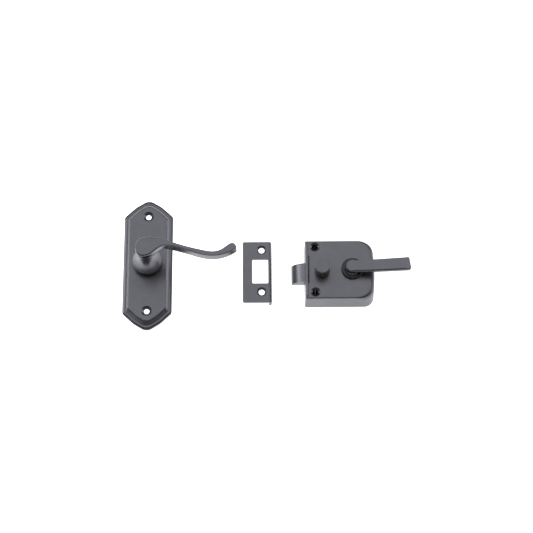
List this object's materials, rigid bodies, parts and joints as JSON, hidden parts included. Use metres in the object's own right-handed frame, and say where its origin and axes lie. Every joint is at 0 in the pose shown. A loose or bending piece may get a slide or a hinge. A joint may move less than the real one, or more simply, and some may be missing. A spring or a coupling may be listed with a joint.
{
  "type": "rim night latch",
  "caption": "Surface-mounted rim latch kit: spring latch case with push-button snib and flat inside lever, folded strike plate, and outside lever on a long pointed backplate.",
  "frame": {"origin": "centre of the kit's box, on the surface that the backs of the case and the long plate rest on", "axes": "+X along the row of the three groups, from the outside lever to the inside lever; +Z away from the door face"},
  "size_m": [0.2627, 0.127, 0.047],
  "materials": {
    "black_cast": "satin",
    "zinc_sheet": "satin",
    "steel_screws": "satin",
    "black_collar": "satin",
    "brass_ring": "satin",
    "spring_wire": "bright",
    "black_lever": "satin",
    "bright_steel": "satin",
    "black_hardware": "satin",
    "cast_follower": "as cast",
    "black_bolt": "satin",
    "black_button": "satin",
    "black_plate": "satin",
    "nylon_washer": "matte",
    "black_strike": "satin"
  },
  "bodies": {
    "case_body": {"latch_case": "black_cast", "case_back_plate": "zinc_sheet", "back_plate_screws": "steel_screws", "lever_collar": "black_collar", "button_collar": "brass_ring", "button_keeper_plate": "zinc_sheet", "keeper_screws": "steel_screws", "button_spring": "spring_wire", "bolt_spring": "spring_wire", "spring_guide_pin": "steel_screws", "follower_spring": "spring_wire"},
    "inside_lever_body": {"inside_lever": "black_lever", "inside_lever_shank": "bright_steel", "inside_lever_grub_screw": "black_hardware", "inside_lever_circlip": "black_hardware", "follower": "cast_follower"},
    "bolt_body": {"latch_bolt": "black_bolt", "bolt_yoke": "zinc_sheet", "yoke_rivets": "steel_screws"},
    "snib_body": {"snib_button": "black_button", "snib_pin": "bright_steel"},
    "outside_set": {"outside_plate": "black_plate", "outside_rose": "black_plate"},
    "outside_lever_body": {"outside_lever": "black_lever", "outside_lever_washer": "nylon_washer", "outside_lever_circlip": "black_hardware", "spindle": "bright_steel", "spindle_grub_screw": "black_hardware"},
    "strike_body": {"strike_plate": "black_strike"}
  },
  "joints": [
    {"name": "inside_lever_turn", "type": "hinge", "parent": "case_body", "child": "inside_lever_body", "pos_m": [0.0789, -0.0131, 0.022], "axis": [0, 0, 1], "range_deg": [-40, 0], "stiffness_Nm_per_rad": 0.35, "springref_deg": 8.59, "deforming": ["follower_spring"]},
    {"name": "bolt_slide", "type": "slide", "parent": "case_body", "child": "bolt_body", "axis": [1, 0, 0], "range_m": [0, 0.0106], "deforming": ["bolt_spring"]},
    {"name": "snib_button_press", "type": "slide", "parent": "case_body", "child": "snib_body", "axis": [0, 0, -1], "range_m": [0, 0.0026], "stiffness_N_per_m": 250, "springref_m": -0.002, "deforming": ["button_spring"]},
    {"name": "outside_set_lift", "type": "slide", "parent": "case_body", "child": "outside_set", "axis": [0, 0, 1], "range_m": [0, 0.05]},
    {"name": "outside_lever_turn", "type": "hinge", "parent": "outside_set", "child": "outside_lever_body", "pos_m": [-0.10875, 0, 0.007], "axis": [0, 0, 1], "range_deg": [-45, 45]},
    {"name": "strike_lift", "type": "slide", "parent": "case_body", "child": "strike_body", "axis": [0, 0, 1], "range_m": [0, 0.05]}
  ],
  "couplings": [
    {"joint": "bolt_slide", "follows": "inside_lever_turn", "m_per_rad": -0.01518}
  ]
}
